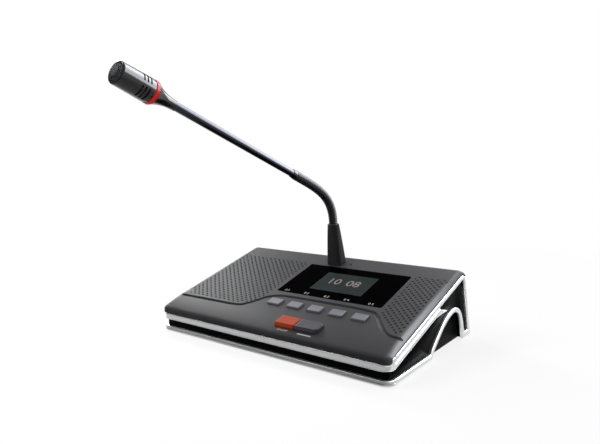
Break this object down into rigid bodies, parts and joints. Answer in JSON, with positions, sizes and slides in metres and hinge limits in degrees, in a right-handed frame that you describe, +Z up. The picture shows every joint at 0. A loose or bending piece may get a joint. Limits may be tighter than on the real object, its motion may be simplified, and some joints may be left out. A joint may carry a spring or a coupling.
{
  "type": "conference delegate unit",
  "caption": "Wedge-shaped desktop console with sloped grey panel, keys, display, speaker grille and silver trims, and a microphone on a bending gooseneck.",
  "frame": {"origin": "middle of the flat underside of the console's case; the rubber feet reach 1 mm lower", "axes": "+Z up, +X to the user's right, -Y towards the user, where the microphone leans"},
  "size_m": [0.23, 0.2757, 0.2087],
  "materials": {
    "black_abs": "satin black",
    "black_gooseneck": "satin black",
    "black_rubber": "matt black",
    "circuit_board": "green lacquer",
    "dark_grey_keycap": "dark grey, satin",
    "dark_steel_mesh": "dark grey lacquer",
    "ferrite": "matt dark grey",
    "gloss_black_head": "gloss black",
    "grey_foam": "matt dark grey foam",
    "grey_keycap": "light grey, satin",
    "lcd_glass": "dark grey display",
    "nickel_plated_brass": "nickel plated",
    "red_keycap": "red, satin gloss",
    "red_light_ring": "red, translucent",
    "silver_plated_trim": "bright satin silver",
    "smoked_glass": "smoked, nearly black",
    "speaker_paper": "matt black paper",
    "textured_grey_abs": "fine textured mid grey",
    "zinc_plated_steel": "zinc plated"
  },
  "bodies": {
    "console": {"ballast_plate": "zinc_plated_steel", "boot_nut": "zinc_plated_steel", "bottom_case": "black_abs", "case_screw_1": "zinc_plated_steel", "case_screw_2": "zinc_plated_steel", "case_screw_3": "zinc_plated_steel", "case_screw_4": "zinc_plated_steel", "cheek_left": "black_abs", "cheek_right": "black_abs", "display_window": "smoked_glass", "key_board": "circuit_board", "lcd_module": "lcd_glass", "line_in_socket": "nickel_plated_brass", "line_out_socket": "nickel_plated_brass", "lock_screw": "zinc_plated_steel", "lower_trim": "silver_plated_trim", "main_board": "circuit_board", "mic_boot": "black_abs", "rear_panel": "black_abs", "rubber_foot_1": "black_rubber", "rubber_foot_2": "black_rubber", "rubber_foot_3": "black_rubber", "rubber_foot_4": "black_rubber", "side_frame_left": "silver_plated_trim", "side_frame_right": "silver_plated_trim", "speaker_basket": "zinc_plated_steel", "speaker_cone": "speaker_paper", "speaker_gasket": "grey_foam", "speaker_magnet": "ferrite", "top_cover": "textured_grey_abs", "upper_trim": "silver_plated_trim"},
    "function_key_body_1": {"function_key_1": "grey_keycap"},
    "function_key_body_2": {"function_key_2": "grey_keycap"},
    "function_key_body_3": {"function_key_3": "grey_keycap"},
    "function_key_body_4": {"function_key_4": "grey_keycap"},
    "function_key_body_5": {"function_key_5": "grey_keycap"},
    "mic_key_body": {"mic_key": "red_keycap"},
    "priority_key_body": {"priority_key": "dark_grey_keycap"},
    "neck_body_1": {"neck_link_1": "black_gooseneck"},
    "neck_body_2": {"neck_link_2": "black_gooseneck"},
    "neck_body_3": {"neck_link_3": "black_gooseneck"},
    "neck_body_4": {"neck_link_4": "black_gooseneck"},
    "neck_body_5": {"neck_link_5": "black_gooseneck"},
    "neck_body_6": {"neck_link_6": "black_gooseneck"},
    "neck_body_7": {"neck_link_7": "black_gooseneck"},
    "neck_body_8": {"neck_link_8": "black_gooseneck", "neck_ferrule": "gloss_black_head", "stem_tube": "black_gooseneck", "head_cone": "gloss_black_head", "light_ring": "red_light_ring", "mic_barrel": "gloss_black_head", "capsule_sleeve": "black_rubber", "mic_capsule": "zinc_plated_steel", "mic_grille": "dark_steel_mesh"}
  },
  "joints": [
    {"name": "function_key_press_1", "type": "slide", "parent": "console", "child": "function_key_body_1", "axis": [0, 0.2807, -0.9598], "range_m": [0, 0.001], "stiffness_N_per_m": 400},
    {"name": "function_key_press_2", "type": "slide", "parent": "console", "child": "function_key_body_2", "axis": [0, 0.2807, -0.9598], "range_m": [0, 0.001], "stiffness_N_per_m": 400},
    {"name": "function_key_press_3", "type": "slide", "parent": "console", "child": "function_key_body_3", "axis": [0, 0.2807, -0.9598], "range_m": [0, 0.001], "stiffness_N_per_m": 400},
    {"name": "function_key_press_4", "type": "slide", "parent": "console", "child": "function_key_body_4", "axis": [0, 0.2807, -0.9598], "range_m": [0, 0.001], "stiffness_N_per_m": 400},
    {"name": "function_key_press_5", "type": "slide", "parent": "console", "child": "function_key_body_5", "axis": [0, 0.2807, -0.9598], "range_m": [0, 0.001], "stiffness_N_per_m": 400},
    {"name": "mic_key_press", "type": "slide", "parent": "console", "child": "mic_key_body", "axis": [0, 0.2807, -0.9598], "range_m": [0, 0.001], "stiffness_N_per_m": 400},
    {"name": "priority_key_press", "type": "slide", "parent": "console", "child": "priority_key_body", "axis": [0, 0.2807, -0.9598], "range_m": [0, 0.001], "stiffness_N_per_m": 400},
    {"name": "neck_pitch_1", "type": "hinge", "parent": "console", "child": "neck_body_1", "pos_m": [-0.0015, 0.03255, 0.0934], "axis": [1, 0, 0], "range_deg": [-14, 9]},
    {"name": "neck_sway_1", "type": "hinge", "parent": "neck_body_1", "child": "neck_body_2", "pos_m": [-0.0015, 0.03077, 0.10322], "axis": [0, 0.9516, 0.3075], "range_deg": [-11, 11]},
    {"name": "neck_pitch_2", "type": "hinge", "parent": "neck_body_2", "child": "neck_body_3", "pos_m": [-0.0015, 0.0262, 0.11206], "axis": [1, 0, 0], "range_deg": [-14, 9]},
    {"name": "neck_sway_2", "type": "hinge", "parent": "neck_body_3", "child": "neck_body_4", "pos_m": [-0.0015, 0.01919, 0.11915], "axis": [0, 0.6176, 0.7865], "range_deg": [-11, 11]},
    {"name": "neck_pitch_3", "type": "hinge", "parent": "neck_body_4", "child": "neck_body_5", "pos_m": [-0.0015, 0.0108, 0.12457], "axis": [1, 0, 0], "range_deg": [-14, 9]},
    {"name": "neck_sway_3", "type": "hinge", "parent": "neck_body_5", "child": "neck_body_6", "pos_m": [-0.0015, 0.00179, 0.1289], "axis": [0, 0.3969, 0.9179], "range_deg": [-11, 11]},
    {"name": "neck_pitch_4", "type": "hinge", "parent": "neck_body_6", "child": "neck_body_7", "pos_m": [-0.0015, -0.00748, 0.13265], "axis": [1, 0, 0], "range_deg": [-14, 9]},
    {"name": "neck_sway_4", "type": "hinge", "parent": "neck_body_7", "child": "neck_body_8", "pos_m": [-0.0015, -0.01685, 0.13615], "axis": [0, 0.3436, 0.9391], "range_deg": [-11, 11]}
  ],
  "couplings": [
    {"joint": "neck_pitch_2", "follows": "neck_pitch_1", "ratio": 1},
    {"joint": "neck_sway_2", "follows": "neck_sway_1", "ratio": 1},
    {"joint": "neck_pitch_3", "follows": "neck_pitch_1", "ratio": 1},
    {"joint": "neck_sway_3", "follows": "neck_sway_1", "ratio": 1},
    {"joint": "neck_pitch_4", "follows": "neck_pitch_1", "ratio": 1},
    {"joint": "neck_sway_4", "follows": "neck_sway_1", "ratio": 1}
  ]
}
